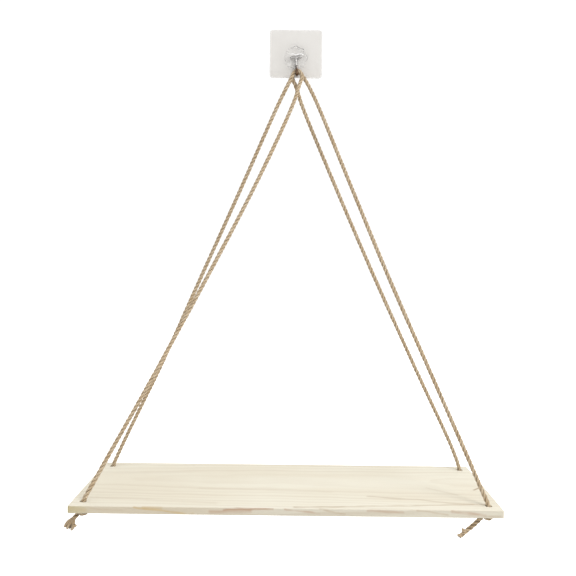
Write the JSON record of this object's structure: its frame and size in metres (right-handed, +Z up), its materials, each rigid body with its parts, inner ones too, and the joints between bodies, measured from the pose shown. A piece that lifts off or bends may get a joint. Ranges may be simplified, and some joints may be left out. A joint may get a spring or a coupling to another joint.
{
  "type": "hanging rope plant shelf with adhesive wall hook",
  "caption": "Plain rectangular wooden shelf board hung by knotted jute ropes from an adhesive wall hook, for a small potted plant.",
  "frame": {"origin": "the middle of the hook pad's back face, where it sticks to the wall", "axes": "+Z up, +Y into the wall, +X to the right for someone who faces the wall; the board's back edge also meets the wall plane y = 0"},
  "size_m": [0.4065, 0.15, 0.5057],
  "materials": {
    "wood": "bare pale softwood, planed, with fine lengthwise grain",
    "jute": "three-strand jute rope, dry and a little hairy",
    "pad_plastic": "milky clear plastic pad, glossy",
    "boss_plastic": "clear moulded plastic, glossy",
    "steel": "bright drawn steel wire"
  },
  "bodies": {
    "root": {"board": "wood", "left_rope": "jute", "right_rope": "jute", "hook_pad": "pad_plastic", "hook_boss": "boss_plastic", "hook_wire": "steel"}
  },
  "joints": []
}
